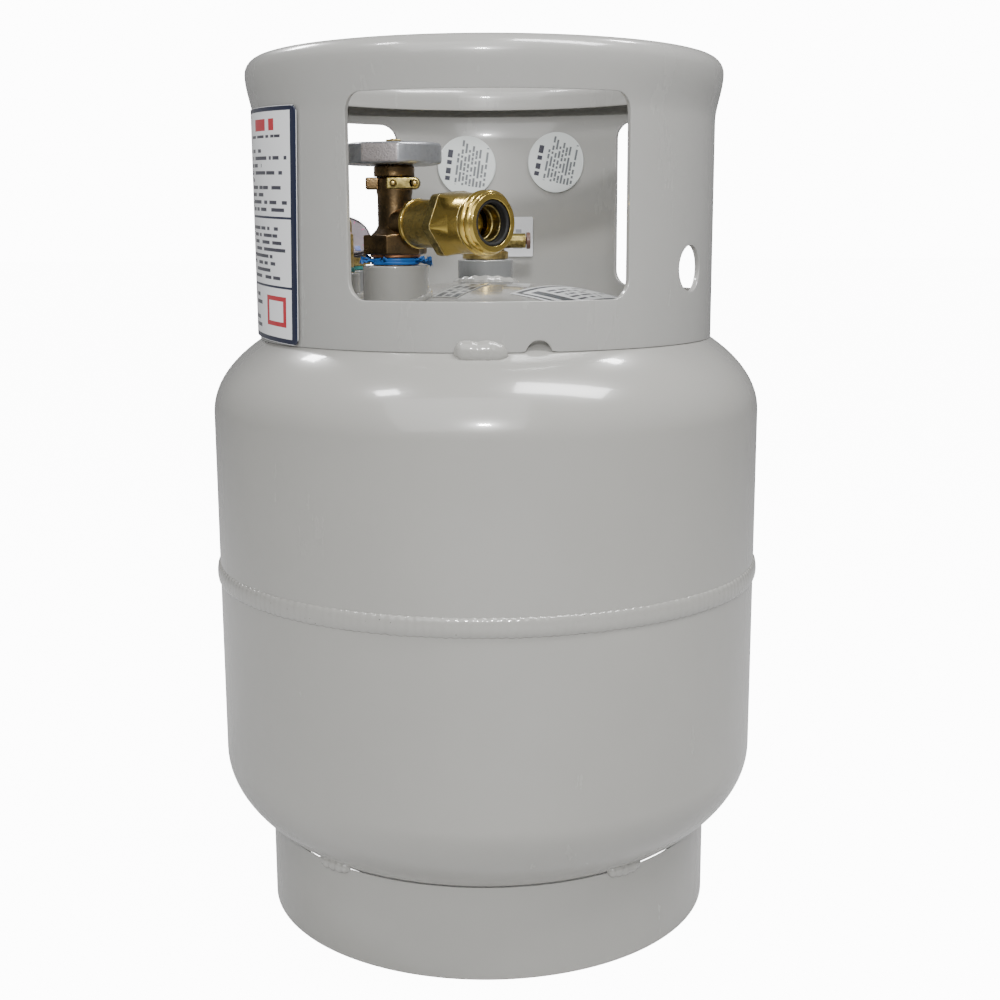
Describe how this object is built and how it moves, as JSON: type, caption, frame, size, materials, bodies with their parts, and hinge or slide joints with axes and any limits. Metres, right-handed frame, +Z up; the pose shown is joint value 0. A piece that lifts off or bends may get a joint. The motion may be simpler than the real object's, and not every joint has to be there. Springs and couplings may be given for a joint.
{
  "type": "propane cylinder",
  "caption": "Welded steel propane cylinder with handhold collar, foot ring, service valve with quick coupling, relief valve, level vent and float gauge.",
  "frame": {"origin": "centre of the foot ring, on the floor", "axes": "+Z up the cylinder's axis, -Y towards the collar's front window, +X to the right of the front"},
  "size_m": [0.3138, 0.3138, 0.4819],
  "materials": {
    "grey_enamel": "glossy light warm grey powder coat",
    "painted_weld": "glossy grey paint over weld ripples",
    "bare_steel": "plain steel",
    "bright_brass": "turned brass",
    "dark_bronze": "forged, browned",
    "cast_aluminium": "cast, satin",
    "black_rubber": "matte",
    "blue_tape": "thread sealing tape",
    "white_nylon": "satin",
    "spring_steel": "drawn wire",
    "dial_face": "printed",
    "needle_red": "satin",
    "clear_lens": "clear plastic",
    "brown_cap": "satin",
    "white_label": "satin sticker"
  },
  "bodies": {
    "cylinder": {"backing_ring": "bare_steel", "bonnet": "dark_bronze", "collar": "grey_enamel", "collar_weld_1": "painted_weld", "collar_weld_2": "painted_weld", "collar_weld_3": "painted_weld", "coupling_body": "bright_brass", "coupling_guide": "bright_brass", "coupling_retainer": "bright_brass", "coupling_seal": "black_rubber", "coupling_spring": "spring_steel", "data_label": "white_label", "dip_tube": "bare_steel", "dome_label_1": "white_label", "dome_label_2": "white_label", "foot_ring": "grey_enamel", "foot_weld_1": "painted_weld", "foot_weld_2": "painted_weld", "foot_weld_3": "painted_weld", "foot_weld_4": "painted_weld", "gauge_body": "bright_brass", "gauge_boss": "grey_enamel", "gauge_dial": "dial_face", "gauge_lens": "clear_lens", "gauge_pivot_pin": "bare_steel", "gauge_screw_1": "bright_brass", "gauge_screw_2": "bright_brass", "gauge_support_tube": "bare_steel", "girth_weld": "painted_weld", "lock_pin_1": "bright_brass", "lock_pin_2": "bright_brass", "lower_shell": "grey_enamel", "relief_adjuster": "bright_brass", "relief_body": "bright_brass", "relief_boss": "grey_enamel", "relief_spring": "spring_steel", "round_label_1": "white_label", "round_label_2": "white_label", "service_boss": "grey_enamel", "square_label": "white_label", "stem_o_ring": "black_rubber", "thread_tape": "blue_tape", "upper_shell": "grey_enamel", "valve_body": "dark_bronze", "vent_body": "bright_brass", "vent_boss": "grey_enamel", "vent_tube": "bare_steel"},
    "handwheel": {"handwheel": "cast_aluminium", "handwheel_nut": "bright_brass", "valve_stem": "bright_brass"},
    "seat": {"seat_holder": "bright_brass", "seat_disc": "white_nylon"},
    "coupling_poppet": {"coupling_poppet": "bright_brass"},
    "relief_poppet": {"relief_poppet": "bright_brass"},
    "relief_cap": {"relief_cap": "brown_cap"},
    "vent_screw": {"vent_screw": "bright_brass"},
    "float_arm": {"gauge_float_arm": "bare_steel", "gauge_float": "black_rubber"},
    "drive_shaft": {"gauge_drive_shaft": "bare_steel"},
    "pointer": {"gauge_pointer": "needle_red"}
  },
  "joints": [
    {"name": "handwheel_turn", "type": "hinge", "parent": "cylinder", "child": "handwheel", "pos_m": [-0.048, -0.052, 0.43], "axis": [0, 0, 1], "range_deg": [0, 900]},
    {"name": "seat_lift", "type": "slide", "parent": "handwheel", "child": "seat", "axis": [0, 0, 1], "range_m": [0, 0.004]},
    {"name": "coupling_poppet_slide", "type": "slide", "parent": "cylinder", "child": "coupling_poppet", "axis": [-0.6743, 0.7385, 0], "range_m": [0, 0.005], "stiffness_N_per_m": 400, "springref_m": -0.004},
    {"name": "relief_lift", "type": "slide", "parent": "cylinder", "child": "relief_poppet", "axis": [0, 0, 1], "range_m": [0, 0.003], "stiffness_N_per_m": 3000, "springref_m": -0.004, "deforming": ["relief_spring"]},
    {"name": "relief_cap_pull", "type": "slide", "parent": "cylinder", "child": "relief_cap", "axis": [1, 0, 0], "range_m": [0, 0.012]},
    {"name": "vent_screw_lift", "type": "slide", "parent": "cylinder", "child": "vent_screw", "axis": [0, 0, 1], "range_m": [0, 0.002]},
    {"name": "float_swing", "type": "hinge", "parent": "cylinder", "child": "float_arm", "pos_m": [-0.0825, 0.022, 0.205], "axis": [0, -1, 0], "range_deg": [0, 100]},
    {"name": "drive_shaft_turn", "type": "hinge", "parent": "cylinder", "child": "drive_shaft", "pos_m": [-0.0825, 0.022, 0.3], "axis": [0, 0, 1], "range_deg": [0, 270]},
    {"name": "pointer_turn", "type": "hinge", "parent": "cylinder", "child": "pointer", "pos_m": [-0.0788, 0.0148, 0.38837], "axis": [0.3593, -0.6986, 0.6188], "range_deg": [-270, 0]}
  ],
  "couplings": [
    {"joint": "seat_lift", "follows": "handwheel_turn", "m_per_rad": 0.00025462},
    {"joint": "drive_shaft_turn", "follows": "float_swing", "ratio": 2.6999},
    {"joint": "pointer_turn", "follows": "float_swing", "ratio": -2.6999}
  ]
}
